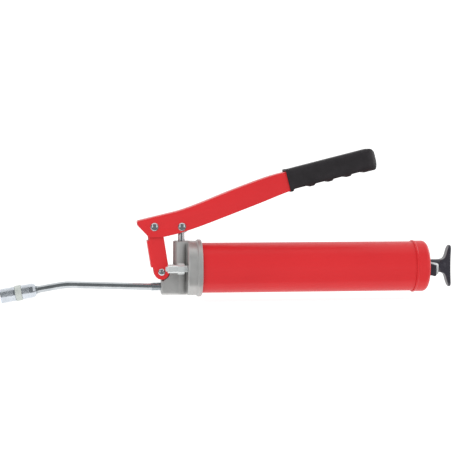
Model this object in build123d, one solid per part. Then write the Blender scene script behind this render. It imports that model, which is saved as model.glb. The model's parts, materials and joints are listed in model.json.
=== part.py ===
from build123d import *
from math import atan2, cos, degrees, hypot, radians, sin, tan
import os

os.makedirs("parts", exist_ok=True)

# Lever grease gun, millimetres. +X runs from the coupler's mouth to the T-handle,
# +Y across the barrel, +Z up. The origin is the centre of the coupler's mouth.

# --- Driving dimensions ---------------------------------------------------------------
AXIS_Z = 30.0            # height of the barrel's axis
OUTLET_Z = 9.2           # height of the outlet bore and the pipe's threaded end
TILT = 9.8               # angle of the coupler and the pipe's first run
RUN_TILT = 2.0           # fall of the pipe's long run towards the head
FIT = 0.05               # radial clearance of running fits
SNUG = 0.02              # radial gap between parts that are fixed together

# Pump head
HEAD_X = 209.0           # front wall of the head
CAVITY_X = 213.0         # inner face of the front wall
RING_X0, RING_X1 = 220.2, 226.0
SKIRT_R = 31.2
RING_R = 32.5
PUMP_X = 203.5           # axis of the plunger
BOSS_R = 9.7
BOSS_TOP = AXIS_Z + 31.0
BLOCK_HALF = 9.0         # half width of the outlet block and the shoulder over it
BLOCK_TOP = 17.2
OUTLET_X = 180.0         # face the pipe screws into
SHOULDER_TOP = 32.6
LUG_HALF, LUG_R = 7.0, 7.5
FOOT = 0.2               # underside of the head
PUMP_FLOOR = 6.5
INLET_Z = AXIS_Z + 10.5
INLET_R = 3.0
SEAL_Z, SEAL_R = 53.0, 6.6        # pocket for the plunger's seal
RETAINER_Z = 58.4

# Outlet check valve
CHECK_SEAT_X, CHECK_BALL_R = 197.5, 3.0
OUTLET_BORE_R = 1.9
CHECK_ROOM_R = 4.2
PIPE_END_X = 187.5

# Barrel and end cap
BARREL_R = 28.5
WALL = 1.0
BARREL_X0, BARREL_X1 = 215.05, 480.9
CAP_X0, CAP_X1 = 470.0, 486.9
CAP_IN = 485.4           # inner face of the cap
CAP_R = 29.2
BEAD_R = 29.9            # raised bead round the cap's open edge

# Follower assembly, parked at the empty position
ROD_R = 3.5
FOLLOWER_X = 244.5       # rear face of the rear washer
PULL = 200.0             # travel of the rod

# Linkage pivots, as (x, z)
P1 = (172.5, 77.3)       # lever on link
P2 = (PUMP_X, 77.3)      # lever on plunger
P3 = (180.6, 26.2)       # link on head
PIN_R = 3.0
DOME_R, DOME_H = 4.8, 2.4
SMALL_DOME_R, SMALL_DOME_H = 4.15, 2.1
SPACER_R = 5.0

# Lever, link and plunger
LEVER_OUT, LEVER_IN = 12.3, 10.1      # half widths of the channel
LINK_OUT, LINK_IN = 9.8, 7.3
LOBE_R = 8.5
PLUNGER_R = 4.0
PLUNGER_TIP = AXIS_Z - 5.4            # lower end of the plunger
EYE_HALF = 6.0

# Grip, in its own axes: s along the handle, t across it
GRIP_X, GRIP_Z, GRIP_TILT = 323.7, 128.9, 14.2
GRIP_TOP, GRIP_LOW, GRIP_HALF = 12.55, 12.85, 14.4
COLLAR_S, COLLAR_T = 4.0, 0.4
BODY_CORNER, MOUTH_CORNER = 7.2, 3.2  # corners of its section, squarer at the mouth to clear the lever
GRIP_END, GRIP_ROUND_S = 106.1, 98.5
RIB_S, RIB_PITCH, RIB_HALF, GROOVE_DEPTH = 25.9, 21.5, 3.0, 1.9
TANG_S, TANG_TOP, TANG_LOW = 98.0, 10.2, 9.6
NECK_S, NECK_LOW, NECK_END = 0.5, 12.05, 3.6      # the lever narrows to the tang inside the grip's mouth

# Filler nipple on the near side of the head
NIPPLE_Y, NIPPLE_Z = -21.0, AXIS_Z + 0.6
NIPPLE_TIP, NIPPLE_NECK = 184.2, 186.3
HEX_X0, HEX_X1, HEX_FLATS = 197.6, 205.2, 11.0
NIPPLE_R, SHANK_R = 4.7, 3.95
FILLER_BALL_R = 2.1

# Latch plate and pad on the cap
LATCH_T = 1.5
LATCH_RIVETS = [AXIS_Z - 12.5, AXIS_Z + 12.5]
TAB_Y0, TAB_Y1 = -12.2, -10.7
PAD_Y = -14.6

# Pipe and coupler
PIPE_R, PIPE_BORE_R = 4.0, 2.2
THREAD_R = 4.9
BEND_R = 80.0
PIPE_START = 26.2        # front end of the pipe, along the coupler
SOCKET_R = 3.4           # bore of the jaws, for a standard 6.6 mm fitting head


# --- Helpers --------------------------------------------------------------------------
BARREL = Pos(0, 0, AXIS_Z)
OUTLET = Pos(0, 0, OUTLET_Z)
PUMP = Pos(PUMP_X, 0, 0) * Rot(0, -90, 0)
COUPLER = Rot(0, -TILT, 0)
NIPPLE = Pos(0, NIPPLE_Y, NIPPLE_Z)


def pin_axis(point):
    """Place whose local x runs along +Y through a pivot."""
    return Pos(point[0], 0, point[1]) * Rot(0, 0, 90)


def turned(place, points):
    """Solid of revolution about the local x axis, from (x, r) or (x, r, corner radius)."""
    face = make_face(Polyline(*[(p[0], p[1]) for p in points], close=True))
    for p in points:
        if len(p) == 3:
            corner = face.vertices().sort_by_distance((p[0], p[1], 0))[0]
            face = fillet(corner, p[2])
    return place * revolve(face, Axis.X)


def tube(place, x0, x1, r_out, r_in=0.0):
    """Plain tube or rod along the local x axis."""
    return turned(place, [(x0, r_in), (x1, r_in), (x1, r_out), (x0, r_out)])


def block(x0, x1, y0, y1, z0, z1):
    """Box from its two corners."""
    return Pos((x0 + x1) / 2, (y0 + y1) / 2, (z0 + z1) / 2) * Box(x1 - x0, y1 - y0, z1 - z0)


def hexagon(place, x0, x1, across_flats):
    """Hexagonal bar along the local x axis, with chamfered ends."""
    outline = RegularPolygon(across_flats / 2, 6, major_radius=False)
    bar = Pos(x0, 0, 0) * Rot(0, 90, 0) * extrude(outline, x1 - x0)
    tip = across_flats / 2 / cos(radians(30))
    edge = 0.6
    cone = turned(Pos(0, 0, 0), [
        (x0, 0), (x0, tip - edge), (x0 + edge, tip), (x1 - edge, tip), (x1, tip - edge), (x1, 0)])
    return place * (bar & cone)


def coil(place, x0, x1, radius, wire, turns):
    """Compression spring along the local x axis."""
    height = x1 - x0 - wire
    path = Helix(pitch=height / turns, height=height, radius=radius)
    section = Plane(origin=path @ 0, z_dir=path % 0) * Circle(wire / 2)
    spring = sweep(section, path=path, is_frenet=True)
    return place * Pos(x0 + wire / 2, 0, 0) * Rot(0, 90, 0) * spring


def side_plate(face, y0, y1):
    """Extrude a face drawn in (x, z) between two y planes."""
    solid = extrude(Plane.XZ * face, -(y1 - y0))
    return Pos(0, y0, 0) * solid


def ball(place, x, radius):
    """Ball centred on the local x axis."""
    return place * Pos(x, 0, 0) * Sphere(radius)


def dome(place, y0, radius, height, side):
    """Rivet head: a spherical cap standing on the plane y0, on one side of the part."""
    sphere_r = (radius**2 + height**2) / (2 * height)
    keep = block(-20, 20, -20, 20, 0, 40)
    cap = Pos(0, 0, height - sphere_r) * Sphere(sphere_r) & keep
    turn = Rot(-90, 0, 0) if side > 0 else Rot(90, 0, 0)
    return place * Pos(0, y0, 0) * turn * cap


def rivet(point, half_width, head_r, head_h):
    """Pin across the part with a domed head at each end."""
    here = Pos(point[0], 0, point[1])
    shank = tube(pin_axis(point), -half_width, half_width, PIN_R)
    return shank + dome(here, half_width, head_r, head_h, 1) + dome(here, -half_width, head_r, head_h, -1)


def save(solid, name):
    export_step(solid, f"parts/{name}.step")


# --- Pump head ------------------------------------------------------------------------
shell = turned(BARREL, [
    (HEAD_X, 0), (HEAD_X, SKIRT_R, 2.6), (RING_X0, SKIRT_R - 0.3, 0.5), (RING_X0 + 0.9, RING_R, 0.8),
    (RING_X1, RING_R, 1.6), (RING_X1, 0)])
boss = turned(PUMP, [(FOOT, 0), (FOOT, BOSS_R, 1.5), (BOSS_TOP, BOSS_R, 0.8), (BOSS_TOP, 0)])
bridge = block(PUMP_X, HEAD_X + 3, -BOSS_R + 1.2, BOSS_R - 1.2, 2.0, BOSS_TOP)
bridge = fillet(bridge.edges().filter_by(Axis.X).sort_by(Axis.Z)[-2:], 1.5)
outlet_block = block(OUTLET_X, HEAD_X + 3, -BLOCK_HALF, BLOCK_HALF, FOOT, BLOCK_TOP)
outlet_block = fillet(outlet_block.edges().filter_by(Axis.X), 2.6)
outlet_block = fillet(outlet_block.faces().sort_by(Axis.X)[0].edges(), 1.4)
lug = tube(pin_axis(P3), -LUG_HALF, LUG_HALF, LUG_R)
lug += block(P3[0], PUMP_X, -LUG_HALF, LUG_HALF, BLOCK_TOP - 7, P3[1] + LUG_R)
lug = fillet(lug.edges().filter_by(Axis.X), 0.8)

# The shoulder is flush with the block and cut back round the link's two ears
ROOM_R = LOBE_R + 0.5
ear_room = tube(pin_axis(P3), -LINK_OUT - 1, LINK_OUT + 1, ROOM_R)
ear_room -= tube(pin_axis(P3), -LUG_HALF, LUG_HALF, ROOM_R + 0.5)
shoulder = block(P3[0] + 3, PUMP_X, -BLOCK_HALF, BLOCK_HALF, BLOCK_TOP - 7, SHOULDER_TOP)
shoulder = fillet(shoulder.edges().filter_by(Axis.X).sort_by(Axis.Z)[-2:], 1.5)
shoulder -= block(P3[0], P3[0] + ROOM_R, -BLOCK_HALF, BLOCK_HALF, P3[1], SHOULDER_TOP + 1)

head = shell + boss + bridge + outlet_block + (shoulder - ear_room) + lug
THREAD_FIT = 0.08        # radial clearance of the barrel's thread in the head
head -= turned(BARREL, [
    (CAVITY_X, 0), (CAVITY_X, BARREL_R + THREAD_FIT), (RING_X1 - 0.8, BARREL_R + THREAD_FIT),
    (RING_X1 + 0.1, BARREL_R + 1.0), (RING_X1 + 0.1, 0)])
head -= turned(PUMP, [
    (PUMP_FLOOR, 0), (PUMP_FLOOR, PLUNGER_R + FIT), (SEAL_Z, PLUNGER_R + FIT), (SEAL_Z, SEAL_R),
    (BOSS_TOP + 1, SEAL_R), (BOSS_TOP + 1, 0)])
head -= tube(Pos(0, 0, INLET_Z), PUMP_X, CAVITY_X + 1, INLET_R)
head -= turned(OUTLET, [
    (OUTLET_X - 1, 0), (OUTLET_X - 1, THREAD_R + SNUG), (PIPE_END_X, THREAD_R + SNUG),
    (PIPE_END_X, CHECK_ROOM_R), (CHECK_SEAT_X, CHECK_ROOM_R), (CHECK_SEAT_X, OUTLET_BORE_R),
    (PUMP_X, OUTLET_BORE_R), (PUMP_X, 0)])
head -= tube(pin_axis(P3), -LUG_HALF - 1, LUG_HALF + 1, PIN_R + FIT)
head -= tube(NIPPLE, HEAD_X - 2, CAVITY_X + 1, SHANK_R + SNUG)
save(head, "head_casting")

seal = tube(PUMP, SEAL_Z + SNUG, RETAINER_Z, SEAL_R - SNUG, PLUNGER_R + FIT)
save(seal, "plunger_seal")
RETAINER_R, RETAINER_TOP = PLUNGER_R + 0.4, BOSS_TOP - 0.2
retainer = turned(PUMP, [
    (RETAINER_Z + SNUG, RETAINER_R), (RETAINER_TOP, RETAINER_R), (RETAINER_TOP, SEAL_R - SNUG, 0.3),
    (RETAINER_Z + SNUG, SEAL_R - SNUG)])
save(retainer, "seal_retainer")

GASKET_BORE_R = 25.2
gasket = tube(BARREL, CAVITY_X + SNUG, BARREL_X0 - SNUG, BARREL_R - FIT, GASKET_BORE_R)
save(gasket, "head_gasket")

check_x = CHECK_SEAT_X - SNUG - (CHECK_BALL_R**2 - OUTLET_BORE_R**2) ** 0.5
spring_end = 192.75      # just short of the ball
save(ball(OUTLET, check_x, CHECK_BALL_R), "check_ball")
save(coil(OUTLET, PIPE_END_X + SNUG, spring_end, radius=2.0, wire=0.7, turns=3.5), "check_spring")

# --- Filler nipple --------------------------------------------------------------------
MOUTH_R, BORE_R, TAIL_BORE_R = 1.2, 2.6, 1.6
BORE_X0, BORE_X1 = 189.0, 208.0
HEX_CORE_R = 5.0
tail_x = CAVITY_X - 0.1
nipple = turned(NIPPLE, [
    (NIPPLE_TIP, MOUTH_R), (NIPPLE_TIP, BORE_R, 0.6), (NIPPLE_NECK - 0.1, BORE_R),
    (NIPPLE_NECK + 0.1, NIPPLE_R, 0.6), (HEX_X0, NIPPLE_R), (HEX_X0, HEX_CORE_R), (HEX_X1, HEX_CORE_R),
    (HEX_X1, SHANK_R), (tail_x, SHANK_R), (tail_x, TAIL_BORE_R), (BORE_X1, TAIL_BORE_R), (BORE_X1, BORE_R),
    (BORE_X0, BORE_R), (BORE_X0 - 1, MOUTH_R)])
nut = hexagon(NIPPLE, HEX_X0, HEX_X1, HEX_FLATS) - tube(NIPPLE, HEX_X0 - 1, HEX_X1 + 1, HEX_CORE_R - 0.4)
save(nipple + nut, "filler_nipple")
save(ball(NIPPLE, BORE_X0 + 0.77, FILLER_BALL_R), "filler_ball")
save(coil(NIPPLE, BORE_X0 + 2.0, BORE_X1 - FIT, radius=1.9, wire=0.6, turns=6), "filler_spring")

# --- Barrel, end cap and latch --------------------------------------------------------
barrel = turned(BARREL, [
    (BARREL_X0, BARREL_R - WALL), (BARREL_X0, BARREL_R, 0.4), (BARREL_X1, BARREL_R),
    (BARREL_X1, BARREL_R - WALL)])
save(barrel, "barrel_tube")

BUSH_R, FLANGE_R, FLANGE_X = 6.0, 8.5, CAP_IN - 3.0
STEM_R = 1.5             # shank of the latch's rivets
cap = turned(BARREL, [
    (CAP_X0, BARREL_R + SNUG), (CAP_X0, BEAD_R, 0.5), (CAP_X0 + 1.7, BEAD_R, 0.7), (CAP_X0 + 2.7, CAP_R, 0.8),
    (CAP_X1, CAP_R, 5.6), (CAP_X1, BUSH_R + SNUG), (CAP_IN, BUSH_R + SNUG), (CAP_IN, BARREL_R + SNUG, 4.4)])
for z in LATCH_RIVETS:
    cap -= tube(Pos(0, 0, z), CAP_X1 - 5, CAP_X1 + 5, STEM_R + SNUG)
save(cap, "end_cap")

bush = turned(BARREL, [
    (FLANGE_X, ROD_R + FIT), (FLANGE_X, FLANGE_R, 0.5), (CAP_IN - SNUG, FLANGE_R), (CAP_IN - SNUG, BUSH_R),
    (CAP_X1, BUSH_R), (CAP_X1, ROD_R + FIT)])
save(bush, "rod_bush")

# The latch plate lies on the cap and slides 1.4 mm across the rod
LATCH_X = CAP_X1 + 0.1
plate = block(LATCH_X, LATCH_X + LATCH_T, TAB_Y0, 7.0, AXIS_Z - 10.2, AXIS_Z + 5.2)
plate += block(LATCH_X, LATCH_X + LATCH_T, -5.0, 7.0, AXIS_Z - 16.0, AXIS_Z + 16.0)
tab_face = make_face(Polyline(
    (LATCH_X, AXIS_Z - 10.2), (499.0, AXIS_Z - 8.6), (499.3, AXIS_Z + 3.4), (LATCH_X, AXIS_Z + 6.0),
    close=True))
tab_face = fillet(tab_face.vertices().sort_by(Axis.X)[-1], 3.2)
plate += side_plate(tab_face, TAB_Y0, TAB_Y1)
plate = fillet(plate.edges().filter_by(Axis.Z).sort_by(lambda e: e.center().X + e.center().Y * 3)[0], 1.2)


def plate_slot(y, z, length, width):
    """Cutter for a slot through the latch plate, long in the direction it slides."""
    outline = Rot(0, 0, 90) * SlotCenterToCenter(length, width)
    return Pos(CAP_X1 - 1, y, z) * Rot(0, 90, 0) * extrude(outline, 5)


plate -= plate_slot(-0.45, AXIS_Z, 0.9, 8.6)
for z in LATCH_RIVETS:
    plate -= plate_slot(-0.7, z, 1.6, 2 * STEM_R + 0.3)
save(plate, "rod_latch")

pad_face = make_face(Polyline(
    (LATCH_X + 0.9, AXIS_Z - 9.6), (494.6, AXIS_Z - 11.2), (496.4, AXIS_Z - 10.0), (496.4, AXIS_Z + 1.6),
    (LATCH_X + 0.9, AXIS_Z + 4.0), close=True))
pad = side_plate(pad_face, PAD_Y, TAB_Y0 - SNUG)
pad = fillet(pad.faces().sort_by(Axis.Y)[0].edges(), 0.6)
save(pad, "latch_pad")

rivets = []
HEAD_R, HEAD_IN, HEAD_OUT = 2.7, CAP_X1 + 1.65, CAP_X1 + 2.75
for z in LATCH_RIVETS:
    here = Pos(0, 0, z)
    stem = tube(here, CAP_IN - 0.8, HEAD_IN + FIT, STEM_R)
    button = turned(here, [(HEAD_IN, 0), (HEAD_IN, HEAD_R), (HEAD_OUT, HEAD_R, 0.7), (HEAD_OUT, 0)])
    rivets.append(stem + button)
save(Compound(children=rivets), "latch_rivets")

# --- Follower assembly and T-handle ---------------------------------------------------
ROD_END = 509.0
NOTCH_X = CAP_X1 + 1.0 - PULL     # groove the latch drops into when the rod is pulled right back
ROD_TIP, TAIL_R, THREAD_TAIL_R, NOTCH_R, NOTCH_HALF = 232.0, 2.5, 2.45, 2.7, 1.7
NUT_X0, NUT_X1, CUP_X, WASHER_X = 233.4, 238.4, 240.0, 243.0
rod = turned(BARREL, [
    (ROD_TIP, 0), (ROD_TIP, THREAD_TAIL_R, 0.4), (CUP_X + 1.9, THREAD_TAIL_R), (CUP_X + 1.9, TAIL_R),
    (FOLLOWER_X + FIT, TAIL_R), (FOLLOWER_X + FIT, ROD_R), (NOTCH_X - NOTCH_HALF, ROD_R),
    (NOTCH_X - NOTCH_HALF, NOTCH_R), (NOTCH_X + NOTCH_HALF, NOTCH_R), (NOTCH_X + NOTCH_HALF, ROD_R),
    (ROD_END, ROD_R), (ROD_END, 0)])
save(rod, "follower_rod")

nut = hexagon(BARREL, NUT_X0, NUT_X1, 10.0) - tube(BARREL, NUT_X0 - 1, NUT_X1 + 1, THREAD_TAIL_R + SNUG)
save(nut, "follower_nut")
hole_r = TAIL_R + FIT
save(tube(BARREL, NUT_X1 + FIT, CUP_X - FIT, 19.0, hole_r), "front_washer")
lip_r, lip_x = BARREL_R - WALL - FIT, CUP_X - 9.0
cup = turned(BARREL, [
    (CUP_X, hole_r), (CUP_X, 24.2, 1.5), (lip_x, 25.6), (lip_x, lip_r, 0.6), (CUP_X - 1.0, lip_r),
    (WASHER_X - FIT, 26.0, 1.0), (WASHER_X - FIT, hole_r)])
save(cup, "follower_cup")
washer = turned(BARREL, [
    (WASHER_X, hole_r), (WASHER_X, 23.5, 0.5), (FOLLOWER_X, 23.5), (FOLLOWER_X, hole_r)])
save(washer, "rear_washer")
save(coil(BARREL, FOLLOWER_X + FIT, CAP_IN - FIT, radius=19.5, wire=2.4, turns=14), "main_spring")

HUB_R, BAR_HALF, ARM_T, ARM_X = 7.6, 6.6, 23.0, 515.9
hub = turned(BARREL, [(CAP_X1 + 2.9, 0), (CAP_X1 + 2.9, HUB_R, 0.8), (508.0, HUB_R), (508.0, 0)])
arm = [(503.6, HUB_R), (507.9, 9.2), (510.6, 15.7), (513.0, ARM_T)]
bar_face = make_face([
    Spline(*arm, tangents=((1, 0.05), (0.35, 1))),
    ThreePointArc(arm[-1], (514.5, ARM_T + 1.2), (ARM_X, ARM_T - 0.2)),
    ThreePointArc((ARM_X, ARM_T - 0.2), (ARM_X - 0.7, 0), (ARM_X, 0.2 - ARM_T)),
    ThreePointArc((ARM_X, 0.2 - ARM_T), (514.5, -ARM_T - 1.2), (513.0, -ARM_T)),
    Spline(*[(x, -t) for x, t in reversed(arm)], tangents=((-0.35, 1), (-1, 0.05))),
    Line((503.6, -HUB_R), (503.6, HUB_R))])
bar = Pos(0, 0, AXIS_Z) * side_plate(bar_face, -BAR_HALF, BAR_HALF)
rims = bar.edges().filter_by(lambda e: abs(abs(e.center().Y) - BAR_HALF) < 0.01 and e.center().X > 503.7)
bar = fillet(rims, 1.2)
bar &= Pos(0, 0, AXIS_Z) * Rot(0, 90, 0) * extrude(SlotOverall(2 * ARM_T + 3, 2 * BAR_HALF + 0.2), 600)
handle = hub + bar - tube(BARREL, CAP_X1, ROD_END + 0.03, ROD_R + SNUG)
save(handle, "t_handle")

# --- Link -----------------------------------------------------------------------------
LINK_LENGTH = hypot(P1[0] - P3[0], P1[1] - P3[1])
LINK_TILT = degrees(atan2(P1[0] - P3[0], P1[1] - P3[1]))
LINK_PLACE = Pos(P3[0], 0, P3[1]) * Rot(0, LINK_TILT, 0)
WEB_X, WEB_T = -10.9, 2.5         # back of the link's channel, in the link's own axes
WEB_Z0, WEB_Z1 = 7.0, 37.5


def across(height, radius, half):
    """Cylinder across the link at a height along it."""
    return Pos(0, 0, height) * Rot(90, 0, 0) * Cylinder(radius, 2 * half)


link = block(-LOBE_R, LOBE_R, -LINK_OUT, LINK_OUT, 0, LINK_LENGTH)
link += across(0, LOBE_R, LINK_OUT) + across(LINK_LENGTH, LOBE_R, LINK_OUT)
web = block(WEB_X, 0, -LINK_OUT, LINK_OUT, WEB_Z0, WEB_Z1)
link += fillet(web.edges().filter_by(Axis.Z).sort_by(Axis.X)[:2], 2.2)
link -= block(WEB_X + WEB_T, 20, -LINK_IN, LINK_IN, WEB_Z0, WEB_Z1)
link -= block(-20, 20, -LINK_IN, LINK_IN, -20, WEB_Z0 + 0.01)
link -= block(-20, 20, -LINK_IN, LINK_IN, WEB_Z1 - 0.01, 80)
link -= across(0, PIN_R + SNUG, 20) + across(LINK_LENGTH, PIN_R + FIT, 20)
save(LINK_PLACE * link, "fulcrum_link")
save(rivet(P3, LINK_OUT, SMALL_DOME_R, SMALL_DOME_H), "link_head_rivet")
save(tube(pin_axis(P1), FIT - LINK_IN, LINK_IN - FIT, SPACER_R, PIN_R + FIT), "link_spacer")


# --- Lever and grip -------------------------------------------------------------------
def along(s, t):
    """(x, z) of a point given along and across the grip."""
    c, q = cos(radians(GRIP_TILT)), sin(radians(GRIP_TILT))
    return (GRIP_X + s * c - t * q, GRIP_Z + s * q + t * c)


top_line = [
    (195.3, 94.0), (209.0, 98.1), (229.6, 105.9), (257.2, 117.1), (284.9, 127.6), (308.0, 135.4),
    along(3, TANG_TOP)]
low_line = [
    (181.2, 65.8), (198.1, 69.6), (213.9, 74.4), (241.1, 84.2), (268.3, 94.7), (295.7, 105.2),
    (319.4, 114.74), along(NECK_S, -NECK_LOW)]
grip_dir = (cos(radians(GRIP_TILT)), sin(radians(GRIP_TILT)))
nose = [(154.2, 84.2), (153.2, 82.4), (154.2, 78.2), (165.6, 66.3), (167.5, 65.7)]


def channel_face(shift_x, shift_z, drop):
    """Side view of the lever, with its top edge shifted and its lower edge dropped."""
    top = [(x + shift_x, z + shift_z) for x, z in top_line]
    low = [(x, z - drop) for x, z in low_line]
    end_top = along(TANG_S, TANG_TOP + shift_z)
    end_low = along(TANG_S, -TANG_LOW - drop)
    neck = along(NECK_END, -TANG_LOW - drop)
    left = [(x - drop, z - drop) for x, z in nose[2:]] if drop else nose[1:]
    start = (nose[0][0] + shift_x - 3 * drop, nose[0][1] + shift_z - 0.69 * drop)
    return make_face([
        Line(start, top[0]),
        Spline(*top, tangents=((1, 0.24), grip_dir)),
        Line(top[-1], end_top),
        Line(end_top, end_low),
        Line(end_low, neck),
        Line(neck, low[-1]),
        Spline(*reversed(low), tangents=((-grip_dir[0], -grip_dir[1]), (-1, -0.21))),
        Polyline(low[0], *reversed(left), start)])


lever = side_plate(channel_face(0, 0, 0), -LEVER_OUT, LEVER_OUT)
lever = fillet(lever.edges().filter_by(lambda e: abs(abs(e.center().Y) - LEVER_OUT) < 0.01)
               .filter_by(lambda e: e.length > 30).sort_by(Axis.Z)[-6:-2], 2.4)
lever -= side_plate(channel_face(0.75, -2.1, 4.0), -LEVER_IN, LEVER_IN)
for point in (P1, P2):
    lever -= tube(pin_axis(point), -20, 20, PIN_R + SNUG)
save(lever, "lever")

save(rivet(P1, LEVER_OUT, DOME_R, DOME_H), "lever_link_rivet")
save(rivet(P2, LEVER_OUT, DOME_R, DOME_H), "lever_plunger_rivet")
spacer_y0, spacer_y1 = EYE_HALF + 0.1, LEVER_IN - FIT
spacers = [
    tube(pin_axis(P2), y0, y1, SPACER_R, PIN_R + SNUG)
    for y0, y1 in ((-spacer_y1, -spacer_y0), (spacer_y0, spacer_y1))]
save(Compound(children=spacers), "eye_spacers")

GRIP_PLACE = Pos(GRIP_X, 0, GRIP_Z) * Rot(0, -GRIP_TILT, 0)
mouth_low, mouth_top = -GRIP_LOW - COLLAR_T, GRIP_TOP + COLLAR_T
grip_side = make_face([
    Polyline((0, mouth_low), (0, mouth_top), (COLLAR_S - 1, mouth_top), (COLLAR_S, GRIP_TOP),
             (GRIP_ROUND_S, GRIP_TOP)),
    ThreePointArc((GRIP_ROUND_S, GRIP_TOP), (103.2, 10.4), (GRIP_END, 3.0)),
    ThreePointArc((GRIP_END, 3.0), (105.4, -5.5), (103.0, -11.1)),
    ThreePointArc((103.0, -11.1), (101.4, -12.5), (GRIP_ROUND_S, -GRIP_LOW)),
    Polyline((GRIP_ROUND_S, -GRIP_LOW), (COLLAR_S, -GRIP_LOW), (COLLAR_S - 1, mouth_low), (0, mouth_low))])
PLAN_ROUND_S = 94.0
grip_plan = make_face([
    Polyline((-1, -GRIP_HALF), (-1, GRIP_HALF), (PLAN_ROUND_S, GRIP_HALF)),
    ThreePointArc((PLAN_ROUND_S, GRIP_HALF), (GRIP_END + 0.3, 0), (PLAN_ROUND_S, -GRIP_HALF)),
    Line((PLAN_ROUND_S, -GRIP_HALF), (-1, -GRIP_HALF))])
grip_shape = side_plate(grip_side, -20, 20) & (Pos(0, 0, -20) * extrude(grip_plan, 40))
body_section = extrude(RectangleRounded(-2 * mouth_low, 2 * GRIP_HALF, BODY_CORNER), 120)
mouth_section = extrude(RectangleRounded(-2 * mouth_low, 2 * GRIP_HALF, MOUTH_CORNER), COLLAR_S)
grip = grip_shape & (Rot(0, 90, 0) * (body_section + mouth_section))
CUTTER_T, CUTTER_ROUND = 6.0, 2.2
for step in range(4):
    groove_end = RIB_S + step * RIB_PITCH - RIB_HALF
    groove_start = groove_end + 2 * RIB_HALF - RIB_PITCH if step else COLLAR_S
    cutter = RectangleRounded(groove_end - groove_start, CUTTER_T, CUTTER_ROUND)
    cutter_t = GROOVE_DEPTH - GRIP_LOW - CUTTER_T / 2
    grip -= side_plate(Pos((groove_start + groove_end) / 2, cutter_t) * cutter, -30, 30)
hole = make_face(Polyline(
    (-1, -NECK_LOW - 0.2), (NECK_S, -NECK_LOW - 2 * FIT), (NECK_END + 0.1, -TANG_LOW - FIT),
    (TANG_S + FIT, -TANG_LOW - FIT), (TANG_S + FIT, TANG_TOP + FIT), (3, TANG_TOP + FIT),
    (-1, TANG_TOP + 0.9), close=True))
grip -= side_plate(hole, -LEVER_OUT - FIT, LEVER_OUT + FIT)
save(GRIP_PLACE * grip, "grip")

# --- Plunger --------------------------------------------------------------------------
eye_z = P2[1]
SPIGOT_R, SHOULDER_Z, SPIGOT_TOP = 2.6, eye_z - 7.0, eye_z - 4.0
plunger = turned(PUMP, [
    (PLUNGER_TIP, 0), (PLUNGER_TIP, PLUNGER_R, 0.5), (SHOULDER_Z, PLUNGER_R), (SHOULDER_Z, SPIGOT_R),
    (SPIGOT_TOP, SPIGOT_R), (SPIGOT_TOP, 0)])
save(plunger, "plunger")

# The slot lets the rivet run straight while the lever swings
SLOT_LENGTH, SLOT_WIDTH, SLOT_SHIFT = 10.2, 7.6, -1.05
eye = block(PUMP_X - 8.8, PUMP_X + 6.7, -EYE_HALF, EYE_HALF, SHOULDER_Z + 0.1, eye_z + 6.4)
eye = fillet(eye.edges().filter_by(Axis.Y), 4.0)
eye -= side_plate(Pos(PUMP_X + SLOT_SHIFT, eye_z) * SlotOverall(SLOT_LENGTH, SLOT_WIDTH), -10, 10)
eye -= tube(PUMP, SHOULDER_Z - 1.0, SPIGOT_TOP + 1.0, SPIGOT_R + SNUG)
save(eye, "plunger_eye")

# --- Extension pipe -------------------------------------------------------------------
KNEE_X = 166.5           # where the long run meets the level end
THREAD_END, THREAD_START = 43.5, 168.5
rise, run = tan(radians(TILT)), tan(radians(RUN_TILT))
bend_x = (OUTLET_Z + KNEE_X * run) / (rise + run)
start = (PIPE_START * cos(radians(TILT)), PIPE_START * sin(radians(TILT)))
end = (PIPE_END_X, OUTLET_Z)
route = Plane.XZ * FilletPolyline(start, (bend_x, bend_x * rise), (KNEE_X, OUTLET_Z), end, radius=BEND_R)
mouth = Plane(origin=route @ 0, z_dir=route % 0)
pipe = sweep(mouth * Circle(PIPE_R), path=route)
pipe += turned(COUPLER, [
    (PIPE_START, 0), (PIPE_START, THREAD_R, 0.5), (THREAD_END, THREAD_R, 0.5), (THREAD_END, 0)])
pipe += turned(OUTLET, [
    (THREAD_START, 0), (THREAD_START, THREAD_R, 0.6), (PIPE_END_X, THREAD_R, 0.5), (PIPE_END_X, 0)])
pipe -= sweep(mouth * Circle(PIPE_BORE_R), path=route)
save(pipe, "extension_pipe")

# --- Coupler --------------------------------------------------------------------------
SLEEVE_R, SPINDLE_R, COUPLER_LENGTH = 8.1, 6.05, 40.2
RING_PITCH, RING_DEPTH = 1.3, 0.18


def ringed(x0, x1, radius):
    """Outline points of a cylinder with fine V grooves turned round it."""
    points = []
    for index in range(int((x1 - x0) / RING_PITCH)):
        x = x0 + (index + 0.5) * RING_PITCH
        points += [(x - 0.3, radius), (x, radius - RING_DEPTH), (x + 0.3, radius)]
    return points


FRONT_X, BAND_X0, BAND_X1 = 9.4, 17.2, 24.5       # front of the body, and the groove for the collar
GROOVE_R, COLLAR_R = 7.6, 8.7
SPRING_ROOM_R, PASSAGE_R, SPRING_FLOOR = 4.2, 1.6, 14.2
body_r = SLEEVE_R - 0.05
thread_bore = THREAD_R + SNUG
body = turned(COUPLER, [
    (FRONT_X, SPRING_ROOM_R), (FRONT_X, SPINDLE_R, 0.4), (BAND_X0, SPINDLE_R), (BAND_X0, GROOVE_R),
    (BAND_X1, GROOVE_R), (BAND_X1, body_r, 0.3), *ringed(25.4, 33.2, body_r), (37.2, body_r, 0.6),
    (COUPLER_LENGTH, 6.3), (COUPLER_LENGTH, thread_bore), (PIPE_START - 0.1, thread_bore),
    (PIPE_START - 0.1, PASSAGE_R), (SPRING_FLOOR, PASSAGE_R), (SPRING_FLOOR, SPRING_ROOM_R)])
save(body, "coupler_body")

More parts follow.
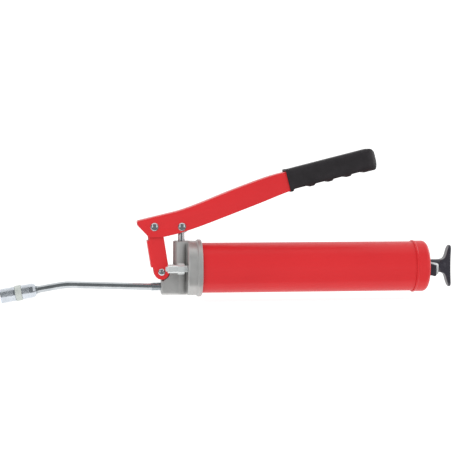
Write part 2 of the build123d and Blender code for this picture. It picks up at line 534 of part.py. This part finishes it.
collar = turned(COUPLER, [
    (BAND_X0 + 0.1, GROOVE_R + SNUG), (BAND_X0 + 0.1, COLLAR_R, 0.7), (BAND_X1 - 0.1, COLLAR_R, 0.7),
    (BAND_X1 - 0.1, GROOVE_R + SNUG)])
save(collar, "coupler_collar")

sleeve = turned(COUPLER, [
    (0.4, 5.0), (0.4, SLEEVE_R, 0.9), *ringed(2.2, 16.2, SLEEVE_R), (BAND_X0 - 0.1, SLEEVE_R, 0.3),
    (BAND_X0 - 0.1, SPINDLE_R + SNUG), (5.0, SPINDLE_R + FIT)])
save(sleeve, "coupler_sleeve")

# Four jaws, closed by the sleeve's taper and carried on the seal
JAW_R, JAW_SEAT_R, JAW_SEAT_X, JAW_END, SAW_HALF = 6.0, 4.7, 5.4, 7.9, 0.3
jaw_ring = turned(COUPLER, [
    (0.0, SOCKET_R), (0.0, 4.8), (4.6, JAW_R - 0.1), (5.0, JAW_R), (JAW_END, JAW_R), (JAW_END, JAW_SEAT_R),
    (JAW_SEAT_X, JAW_SEAT_R), (JAW_SEAT_X, SOCKET_R)])
for angle in (45, 135):
    jaw_ring -= COUPLER * Rot(angle, 0, 0) * block(-1, 9, -SAW_HALF, SAW_HALF, -9, 9)
save(jaw_ring, "coupler_jaws")
seal_end = 8.2
save(tube(COUPLER, JAW_SEAT_X + FIT, seal_end, JAW_SEAT_R - 0.1, 1.3), "coupler_seal")
save(coil(COUPLER, seal_end + FIT, SPRING_FLOOR - FIT, radius=3.2, wire=0.7, turns=3.5), "coupler_spring")
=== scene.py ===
import json
from math import cos, pi, radians, sin, tau

import bmesh
import bpy
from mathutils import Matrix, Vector


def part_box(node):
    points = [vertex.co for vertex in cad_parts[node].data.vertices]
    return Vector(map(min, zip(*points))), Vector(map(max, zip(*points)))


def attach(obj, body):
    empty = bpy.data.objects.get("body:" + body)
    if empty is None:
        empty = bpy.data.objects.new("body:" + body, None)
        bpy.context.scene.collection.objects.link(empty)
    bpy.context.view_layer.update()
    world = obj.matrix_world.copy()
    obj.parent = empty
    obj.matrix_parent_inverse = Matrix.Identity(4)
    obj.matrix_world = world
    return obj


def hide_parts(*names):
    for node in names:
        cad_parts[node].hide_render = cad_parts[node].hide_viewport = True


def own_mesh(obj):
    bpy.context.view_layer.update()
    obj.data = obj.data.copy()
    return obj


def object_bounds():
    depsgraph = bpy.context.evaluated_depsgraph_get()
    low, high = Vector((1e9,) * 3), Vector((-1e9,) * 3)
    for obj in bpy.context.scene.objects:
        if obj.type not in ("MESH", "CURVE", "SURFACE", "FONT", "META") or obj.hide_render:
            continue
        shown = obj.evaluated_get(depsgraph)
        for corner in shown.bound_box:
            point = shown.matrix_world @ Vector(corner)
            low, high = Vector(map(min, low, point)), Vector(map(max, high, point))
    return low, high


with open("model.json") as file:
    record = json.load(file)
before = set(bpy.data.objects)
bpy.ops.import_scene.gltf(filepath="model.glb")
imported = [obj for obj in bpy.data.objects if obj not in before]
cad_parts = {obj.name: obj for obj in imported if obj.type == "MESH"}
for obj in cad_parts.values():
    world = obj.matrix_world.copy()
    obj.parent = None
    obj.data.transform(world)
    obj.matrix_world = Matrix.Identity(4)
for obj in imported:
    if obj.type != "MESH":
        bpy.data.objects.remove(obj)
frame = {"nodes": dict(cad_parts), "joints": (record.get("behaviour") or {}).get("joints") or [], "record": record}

CAD_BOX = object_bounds()
NODES = frame["nodes"]
JOINTS = {j["name"]: j for j in frame["joints"]}
SLOT_OF = {s["node"]: s["material_slot"] for s in frame["record"]["subparts"]}
BODIES = frame["record"]["behaviour"]["bodies"]
BODY_OF = {node: body for body, nodes in BODIES.items() for node in nodes}
MM = 0.001


# --- Measures taken from the frame ----------------------------------------------------
def middle(node):
    low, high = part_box(node)
    return (low + high) / 2


AXIS_Z = middle("barrel_tube").z
OUTLET = Vector((0, 0, middle("check_ball").z))
NIPPLE = Vector((0, middle("filler_ball").y, middle("filler_ball").z))
BARREL = Vector((0, 0, AXIS_Z))
ALONG = Vector((1, 0, 0))
COUPLER_DIR = Vector(JOINTS["jaw_slide"]["axis"]).normalized()


def span(node, start, direction):
    """Where a node begins and ends along an axis, and its largest radius about it."""
    places = [v.co - start for v in NODES[node].data.vertices]
    steps = [p.dot(direction) for p in places]
    radii = [(p - direction * s).length for p, s in zip(places, steps)]
    return min(steps), max(steps), max(radii)


# --- Node-tree helpers ----------------------------------------------------------------
class Paint:
    """A material under construction: the shader and its node tree."""

    def __init__(self, name):
        self.material = bpy.data.materials.new(name)
        self.material.use_nodes = True
        self.tree = self.material.node_tree
        self.shader = self.tree.nodes["Principled BSDF"]
        self.coords = self.tree.nodes.new("ShaderNodeTexCoord").outputs["Object"]

    def set(self, **values):
        for name, value in values.items():
            self.shader.inputs[name.replace("_", " ")].default_value = value
        return self

    def node(self, kind, inputs=None, **settings):
        made = self.tree.nodes.new(kind)
        for name, value in settings.items():
            setattr(made, name, value)
        for name, value in (inputs or {}).items():
            if isinstance(value, bpy.types.NodeSocket):
                self.tree.links.new(value, made.inputs[name])
            else:
                made.inputs[name].default_value = value
        return made

    def noise(self, scale, detail, stretch=(1, 1, 1)):
        """Noise field; scale is in features per metre."""
        mapped = self.node("ShaderNodeMapping", {"Vector": self.coords, "Scale": stretch})
        made = self.node("ShaderNodeTexNoise", {
            "Vector": mapped.outputs["Vector"], "Scale": scale, "Detail": detail,
            "Roughness": 0.55})
        return made.outputs["Fac"]

    def ramp(self, field, stops):
        """Map a field through (position, value) stops; a value is a grey or an (r, g, b)."""
        made = self.node("ShaderNodeValToRGB", {"Fac": field})
        elements = made.color_ramp.elements
        while len(elements) < len(stops):
            elements.new(0.5)
        for element, (position, value) in zip(elements, stops):
            element.position = position
            rgb = value if isinstance(value, tuple) else (value,) * 3
            element.color = (*rgb, 1)
        return made.outputs["Color"]

    def mix(self, factor, a, b):
        made = self.node("ShaderNodeMix", {"Factor": factor}, data_type="RGBA")
        for index, value in ((6, a), (7, b)):
            if isinstance(value, bpy.types.NodeSocket):
                self.tree.links.new(value, made.inputs[index])
            else:
                made.inputs[index].default_value = (*value, 1)
        return made.outputs[2]

    def edges(self, low, high):
        """Mask of convex edges on an evenly meshed piece, from its pointiness."""
        geometry = self.node("ShaderNodeNewGeometry")
        return self.ramp(geometry.outputs["Pointiness"], [(low, 0.0), (high, 1.0)])

    def rims(self, reach):
        """Mask of the outer edges of a sheet or block, within a distance of them."""
        inner = self.node("ShaderNodeAmbientOcclusion", {"Distance": reach}, inside=True, samples=8)
        return self.ramp(inner.outputs["AO"], [(0.35, 1.0), (0.85, 0.0)])

    def crease_shade(self, reach):
        """Mask of inside corners, where shade is painted into the colour."""
        outer = self.node("ShaderNodeAmbientOcclusion", {"Distance": reach}, samples=8)
        return self.ramp(outer.outputs["AO"], [(0.35, 1.0), (0.95, 0.0)])

    def link(self, socket, name):
        self.tree.links.new(socket, self.shader.inputs[name])

    def bump(self, field, strength, distance, below=None):
        inputs = {"Height": field, "Strength": strength, "Distance": distance}
        if below is not None:
            inputs["Normal"] = below
        made = self.node("ShaderNodeBump", inputs)
        self.tree.links.new(made.outputs["Normal"], self.shader.inputs["Normal"])
        return made.outputs["Normal"]


# --- Materials ------------------------------------------------------------------------
def red_enamel():
    p = Paint("red_enamel").set(Coat_Weight=0.22, Coat_Roughness=0.24, Specular_IOR_Level=0.32)
    tone = p.ramp(p.noise(9, 3), [(0.3, (0.595, 0.0100, 0.0145)), (0.7, (0.645, 0.0125, 0.0170))])
    tone = p.mix(p.rims(0.0005), tone, (0.50, 0.010, 0.015))
    p.link(tone, "Base Color")
    p.link(p.ramp(p.noise(260, 4), [(0.3, 0.42), (0.7, 0.52)]), "Roughness")
    peel = p.bump(p.noise(700, 2), 0.10, 0.0002)
    p.bump(p.noise(4200, 3), 0.05, 0.0001, peel)
    return p.material


def cast_zinc():
    p = Paint("cast_zinc").set(Metallic=0.55, Specular_IOR_Level=0.5)
    tone = p.ramp(p.noise(70, 5), [(0.3, (0.45, 0.45, 0.44)), (0.7, (0.54, 0.54, 0.53))])
    # painted shade: the casting's inside corners and creases are darkened in its colour
    tone = p.mix(p.crease_shade(0.007), tone, (0.130, 0.130, 0.125))
    p.link(p.mix(p.edges(0.53, 0.60), tone, (0.70, 0.70, 0.69)), "Base Color")
    p.link(p.ramp(p.noise(400, 5), [(0.3, 0.32), (0.7, 0.46)]), "Roughness")
    grain = p.bump(p.noise(2400, 3), 0.25, 0.0001)
    p.bump(p.noise(160, 4), 0.25, 0.0003, grain)
    return p.material


def bare_metal(name, dark, light, rough, grain, stretch, metallic):
    """Smooth bare metal: a cloudy tone, a breathing gloss and fine drawn lines."""
    p = Paint(name).set(Metallic=metallic)
    p.link(p.ramp(p.noise(100, 4), [(0.3, dark), (0.7, light)]), "Base Color")
    p.link(p.ramp(p.noise(700, 5, stretch), [(0.3, rough[0]), (0.7, rough[1])]), "Roughness")
    p.bump(p.noise(1800, 3, stretch), grain, 0.0001)
    return p.material


def blasted_steel():
    p = Paint("blasted_steel").set(Metallic=0.35)
    tone = p.ramp(p.noise(300, 4), [(0.3, (0.52, 0.56, 0.53)), (0.7, (0.62, 0.65, 0.62))])
    p.link(tone, "Base Color")
    p.link(p.ramp(p.noise(900, 4), [(0.3, 0.50), (0.7, 0.64)]), "Roughness")
    p.bump(p.noise(3500, 3), 0.30, 0.0001)
    return p.material


def moulded(name, dark, light, rough, grain, grain_scale, rim, gloss):
    """Black rubber or plastic with a moulded grain, and rim as the tone of its worn edges."""
    p = Paint(name).set(Specular_IOR_Level=gloss)
    tone = p.ramp(p.noise(120, 5), [(0.3, dark), (0.7, light)])
    p.link(p.mix(p.edges(0.54, 0.66), tone, rim), "Base Color")
    p.link(p.ramp(p.noise(500, 4), [(0.3, rough[0]), (0.7, rough[1])]), "Roughness")
    fine = p.bump(p.noise(grain_scale, 2), grain, 0.00012)
    p.bump(p.noise(300, 3), 0.10, 0.0003, fine)
    return p.material


def pale_floor():
    """White sweep, lit from inside like a light table so that it stays white up to its top."""
    p = Paint("pale_floor").set(Roughness=0.8, Specular_IOR_Level=0.0, Emission_Strength=0.86)
    p.link(p.ramp(p.noise(3, 3), [(0.3, 0.30), (0.7, 0.32)]), "Base Color")
    p.shader.inputs["Emission Color"].default_value = (1, 1, 1, 1)
    return p.material


EVEN, DRAWN = (1, 1, 1), (0.1, 1, 1)      # grain alike in every direction, or drawn out along X

BARE_METALS = {
    # slot: darker tone, lighter tone, roughness, depth of grain, stretch of grain, metallic
    "plated_steel": ((0.74, 0.77, 0.77), (0.84, 0.87, 0.87), (0.16, 0.26), 0.03, EVEN, 0.52),
    "polished_steel": ((0.60, 0.60, 0.61), (0.70, 0.70, 0.71), (0.06, 0.13), 0.03, EVEN, 1.0),
    "rivet_steel": ((0.62, 0.66, 0.68), (0.72, 0.76, 0.78), (0.12, 0.20), 0.04, EVEN, 1.0),
    "spring_steel": ((0.25, 0.25, 0.26), (0.38, 0.38, 0.39), (0.30, 0.45), 0.10, EVEN, 1.0),
    "pipe_steel": ((0.50, 0.53, 0.55), (0.62, 0.65, 0.67), (0.14, 0.24), 0.06, DRAWN, 1.0),
    "coupler_chrome": ((0.60, 0.64, 0.69), (0.70, 0.74, 0.79), (0.20, 0.30), 0.03, EVEN, 1.0)}

MOULDINGS = {
    # slot: darker tone, lighter tone, roughness, depth and scale of grain, worn edges, gloss
    "black_rubber": ((0.010, 0.010, 0.010), (0.020, 0.020, 0.020), (0.55, 0.70), 0.15, 1500,
                     (0.04, 0.04, 0.04), 0.30),
    "grip_rubber": ((0.018, 0.016, 0.018), (0.024, 0.021, 0.024), (0.52, 0.66), 0.35, 2400,
                    (0.036, 0.034, 0.036), 0.25),
    "black_plastic": ((0.024, 0.022, 0.032), (0.034, 0.031, 0.043), (0.26, 0.36), 0.08, 1300,
                      (0.03, 0.03, 0.035), 0.50)}

LOOKS = {"red_paint": red_enamel(), "cast_zinc": cast_zinc(), "coupler_collar": blasted_steel()}
LOOKS.update({slot: bare_metal(slot, *finish) for slot, finish in BARE_METALS.items()})
LOOKS.update({slot: moulded(slot, *finish) for slot, finish in MOULDINGS.items()})


def dress(obj, material_slot):
    obj.data.materials.clear()
    obj.data.materials.append(LOOKS[material_slot])


for name, obj in NODES.items():
    dress(obj, SLOT_OF[name])


# --- Mesh helpers ---------------------------------------------------------------------
EASED_ANGLE = radians(28)      # edges sharper than this are eased


def finish_mesh(mesh, sharp):
    """Smooth shading, broken only at edges sharper than the angle."""
    for polygon in mesh.polygons:
        polygon.use_smooth = True
    mesh.set_sharp_from_angle(angle=radians(sharp))


def stand_for(node, mesh, sharp=32):
    """Show a mesh in place of a CAD node, on the node's body and in its finish."""
    finish_mesh(mesh, sharp)
    obj = bpy.data.objects.new(node + "_shown", mesh)
    bpy.context.scene.collection.objects.link(obj)
    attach(obj, BODY_OF[node])
    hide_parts(node)
    dress(obj, SLOT_OF[node])
    return obj


def welded(node):
    """A node's mesh as a bmesh whose faces share their vertices."""
    bm = bmesh.new()
    bm.from_mesh(NODES[node].data)
    bmesh.ops.remove_doubles(bm, verts=bm.verts, dist=1e-6)
    return bm


def to_mesh(bm, name):
    mesh = bpy.data.meshes.new(name)
    bm.to_mesh(mesh)
    bm.free()
    for attribute in [a for a in mesh.attributes if a.name == "custom_normal"]:
        mesh.attributes.remove(attribute)
    return mesh


def rounded(node, radius):
    """Replace a node with a copy whose edges are eased, up to a radius where there is room."""
    bm = welded(node)
    bmesh.ops.dissolve_limit(bm, angle_limit=radians(0.5), verts=bm.verts, edges=bm.edges)
    edges = [e for e in bm.edges if len(e.link_faces) == 2 and e.calc_face_angle() > EASED_ANGLE]
    bmesh.ops.bevel(bm, geom=edges, offset=radius, offset_type="OFFSET", segments=3, profile=0.5,
                    affect="EDGES", clamp_overlap=True)
    stand_for(node, to_mesh(bm, node + "_shown"))


def cast(node, voxel, passes, keep):
    """Replace a node with a remeshed copy whose edges melt together, as a casting's do."""
    mesh = to_mesh(welded(node), node + "_shown")
    obj = bpy.data.objects.new("work", mesh)
    bpy.context.scene.collection.objects.link(obj)
    remesh = obj.modifiers.new("remesh", "REMESH")
    remesh.mode, remesh.voxel_size = "VOXEL", voxel
    smooth = obj.modifiers.new("smooth", "SMOOTH")
    smooth.factor, smooth.iterations = 0.5, passes
    thin = obj.modifiers.new("thin", "DECIMATE")
    thin.ratio = keep
    bpy.context.view_layer.update()
    evaluated = obj.evaluated_get(bpy.context.evaluated_depsgraph_get())
    result = bpy.data.meshes.new_from_object(evaluated)
    result.name = node + "_shown"
    bpy.data.objects.remove(obj)
    stand_for(node, result, 60)


def sweep_section(bm, path, sections):
    """Skin a tube of cross-sections, each a ring of points round its place, and cap both ends."""
    rings = [[bm.verts.new(place + offset) for offset in section]
             for place, section in zip(path, sections)]
    for near, far in zip(rings, rings[1:]):
        for index in range(len(near)):
            beside = (index + 1) % len(near)
            bm.faces.new((near[index], far[index], far[beside], near[beside]))
    bm.faces.new(list(reversed(rings[0])))
    bm.faces.new(rings[-1])


def around(direction, turns):
    """Unit vector square to an axis, turned about it by a number of turns."""
    return ALONG.rotation_difference(direction) @ Vector((0, cos(tau * turns), sin(tau * turns)))


def wound_spring(node, start, direction, turns, wire):
    """Replace a node with a spring that has closed ends."""
    first, last, outer = span(node, start, direction)
    radius, length = outer - wire / 2, last - first - wire
    per_turn, sides = 28, 8
    closed, end_pitch = 0.8, 0.9 * wire      # turns of each closed end, and its pitch
    path, sections = [], []
    for step in range(turns * per_turn + 1):
        t = step / per_turn
        rise = min(max(t - closed / 2, 0) / (turns - closed), 1)
        end_gap = end_pitch * (min(t, closed) - min(turns - t, closed)) / closed
        distance = first + (wire + end_pitch + end_gap) / 2 + (length - end_pitch) * rise
        outward = around(direction, t)
        path.append(start + direction * distance + outward * radius)
        sections.append([(outward * cos(tau * k / sides) + direction * sin(tau * k / sides))
                         * (wire / 2) for k in range(sides)])
    bm = bmesh.new()
    sweep_section(bm, path, sections)
    bmesh.ops.recalc_face_normals(bm, faces=bm.faces)
    obj = stand_for(node, to_mesh(bm, node + "_shown"), 80)
    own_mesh(obj)


# --- Pipe with cut threads ------------------------------------------------------------
def thread_ridge(bm, start, direction, low, high, root, depth, pitch):
    """Wind a thread's ridge round its root, from low to high along an axis, fading at both ends."""
    turns, per_turn, fade = (high - low) / pitch - 1.0, 36, 0.7
    foot, top = 0.46 * pitch, 0.10 * pitch      # half widths of the ridge
    sunk = 0.05 * MM                            # how far its foot is set into the root
    path, sections = [], []
    for step in range(int(turns * per_turn) + 1):
        t = step / per_turn
        outward = around(direction, t)
        crown = outward * (depth * min(1, 0.08 + t / fade, 0.08 + (turns - t) / fade))
        path.append(start + direction * (low + (t + 0.5) * pitch) + outward * (root - sunk))
        sections.append([direction * -foot, direction * -top + crown,
                         direction * top + crown, direction * foot])
    sweep_section(bm, path, sections)


def threaded_pipe():
    """Replace the pipe with one whose plain ends are cut to the root and wound with a ridge."""
    crest, depth, pitch = 4.9 * MM, 0.5 * MM, 1.0 * MM
    root, slack = crest - depth, 0.05 * MM
    bm = welded("extension_pipe")
    inlet = max(vert.co.x for vert in bm.verts)
    reach = 25 * MM      # stretch of the pipe's inlet end that holds the thread
    ends = [(Vector((0, 0, 0)), COUPLER_DIR, 2 * reach),
            (OUTLET + ALONG * (inlet - reach), ALONG, reach)]
    threads = []
    for start, direction, limit in ends:
        steps = []
        for vert in bm.verts:
            place = vert.co - start
            step = place.dot(direction)
            off = place - direction * step
            if 0 < step <= limit + 0.01 * MM and root < off.length < crest + slack:
                steps.append(step)
                vert.co = start + direction * step + off.normalized() * root
        threads.append((start, direction, min(steps), max(steps)))
    for start, direction, low, high in threads:
        thread_ridge(bm, start, direction, low, high, root, depth, pitch)
    bmesh.ops.recalc_face_normals(bm, faces=bm.faces)
    stand_for("extension_pipe", to_mesh(bm, "extension_pipe_shown"), 40)


# --- Pieces ---------------------------------------------------------------------------
cast("head_casting", 0.50 * MM, 5, 0.5)
cast("grip", 0.50 * MM, 7, 0.35)
cast("t_handle", 0.55 * MM, 4, 0.6)
cast("latch_pad", 0.25 * MM, 3, 0.6)
cast("fulcrum_link", 0.35 * MM, 4, 0.3)
rounded("lever", 0.45 * MM)
for small in ("rod_latch", "filler_nipple", "plunger_eye", "follower_nut"):
    rounded(small, 0.2 * MM)
threaded_pipe()
wound_spring("main_spring", BARREL, ALONG, 14, 2.4 * MM)
wound_spring("check_spring", OUTLET, ALONG, 4, 0.7 * MM)
wound_spring("filler_spring", NIPPLE, ALONG, 6, 0.6 * MM)
wound_spring("coupler_spring", Vector((0, 0, 0)), COUPLER_DIR, 4, 0.7 * MM)


# --- Camera, light and floor ----------------------------------------------------------
AZIMUTH, ELEVATION = radians(-6.4), radians(3.0)
DISTANCE, VIEW_WIDTH = 1.55, 0.51415
AIM = Vector((CAD_BOX[0].x + 0.2553, 0, AXIS_Z + 0.0474))


def add(name, data, place, facing):
    """Link an object whose -Z looks along a direction, with +Y kept up."""
    obj = bpy.data.objects.new(name, data)
    bpy.context.scene.collection.objects.link(obj)
    obj.location = place
    obj.rotation_mode = "QUATERNION"
    obj.rotation_quaternion = facing.to_track_quat("-Z", "Y")
    return obj


def make_camera():
    back = Vector((sin(AZIMUTH) * cos(ELEVATION), -cos(AZIMUTH) * cos(ELEVATION), sin(ELEVATION)))
    data = bpy.data.cameras.new("camera")
    data.sensor_width = 36.0
    data.lens = data.sensor_width * DISTANCE / VIEW_WIDTH
    data.clip_start, data.clip_end = 0.01, 50
    bpy.context.scene.camera = add("camera", data, AIM + back * DISTANCE, -back)


def softbox(name, place, width, height, power, mirrored):
    """Area light aimed at the barrel; mirrored says whether shiny parts show it."""
    data = bpy.data.lights.new(name, "AREA")
    data.shape = "RECTANGLE"
    data.size, data.size_y, data.energy = width, height, power
    place = Vector(place)
    add(name, data, place, Vector((AIM.x, 0, AXIS_Z)) - place).visible_glossy = mirrored


def make_floor():
    """A pale sweep: flat under the object, curving up behind it."""
    low = CAD_BOX[0].z - 0.0002
    half, front, back, radius, rise = 6.0, -4.0, 2.5, 1.5, 4.0
    outline = [(front, low), (back, low)]
    for step in range(1, 17):
        angle = pi / 2 * step / 16
        outline.append((back + radius * sin(angle), low + radius * (1 - cos(angle))))
    outline.append((back + radius, low + rise))
    mesh = bpy.data.meshes.new("floor")
    points = [(x, y, z) for y, z in outline for x in (-half, half)]
    faces = [(2 * i, 2 * i + 1, 2 * i + 3, 2 * i + 2) for i in range(len(outline) - 1)]
    mesh.from_pydata(points, [], faces)
    finish_mesh(mesh, 60)
    floor = bpy.data.objects.new("floor", mesh)
    bpy.context.scene.collection.objects.link(floor)
    floor.data.materials.append(pale_floor())


def flag(name, outline, drawn):
    """Grey studio flag that only mirror-like surfaces see: an outline drawn out along a vector."""
    mesh = bpy.data.meshes.new(name)
    points = [p for place in outline for p in (place, place + drawn)]
    faces = [(2 * i, 2 * i + 1, 2 * i + 3, 2 * i + 2) for i in range(len(outline) - 1)]
    mesh.from_pydata(points, [], faces)
    card = bpy.data.objects.new(name, mesh)
    bpy.context.scene.collection.objects.link(card)
    card.data.materials.append(FLAG_CLOTH)
    card.visible_camera = card.visible_diffuse = card.visible_shadow = False


def flag_cloth():
    p = Paint("flag_cloth").set(Roughness=1.0, Specular_IOR_Level=0.0, Emission_Strength=1.0)
    p.link(p.ramp(p.noise(2, 2), [(0.3, 0.004), (0.7, 0.006)]), "Base Color")
    p.shader.inputs["Emission Color"].default_value = (0.185, 0.195, 0.200, 1)
    return p.material


def make_flags():
    """The studio's dark front and sides, which bright metal mirrors; light comes between them."""
    reach, near, top, steps = 0.95, 0.03, radians(70), 12
    floor_z = CAD_BOX[0].z + MM
    left, right = AIM.x - 0.72, AIM.x + 0.60
    front = [Vector((left, -near, floor_z)), Vector((left, -reach, floor_z))]
    for angle in (top * i / steps for i in range(steps + 1)):
        front.append(Vector((left, -reach * cos(angle), AXIS_Z + reach * sin(angle))))
    flag("front_flag", front, ALONG * (right - left))
    aside, height = 0.90, 0.90
    sides = (("left_flag", -aside, -0.48, 0.90), ("right_flag", aside, -0.40, 0.45))
    for name, x, y, depth in sides:
        corner = middle("plunger") + Vector((x, y, 0))
        edge = [Vector((corner.x, corner.y, z)) for z in (floor_z, height)]
        flag(name, edge, Vector((0, depth, 0)))


def make_world():
    world = bpy.data.worlds.new("studio")
    bpy.context.scene.world = world
    world.use_nodes = True
    background = world.node_tree.nodes["Background"]
    background.inputs["Color"].default_value = (1.0, 1.0, 1.0, 1)
    background.inputs["Strength"].default_value = 1.0


FLAG_CLOTH = flag_cloth()
make_camera()
make_floor()
make_flags()
make_world()
softbox("key_softbox", (-0.5, -1.5, 1.4), 1.4, 1.0, 8, False)
softbox("side_softbox", (2.2, 0.7, 0.5), 1.0, 1.2, 8, True)
bpy.context.scene.view_settings.view_transform = "Standard"
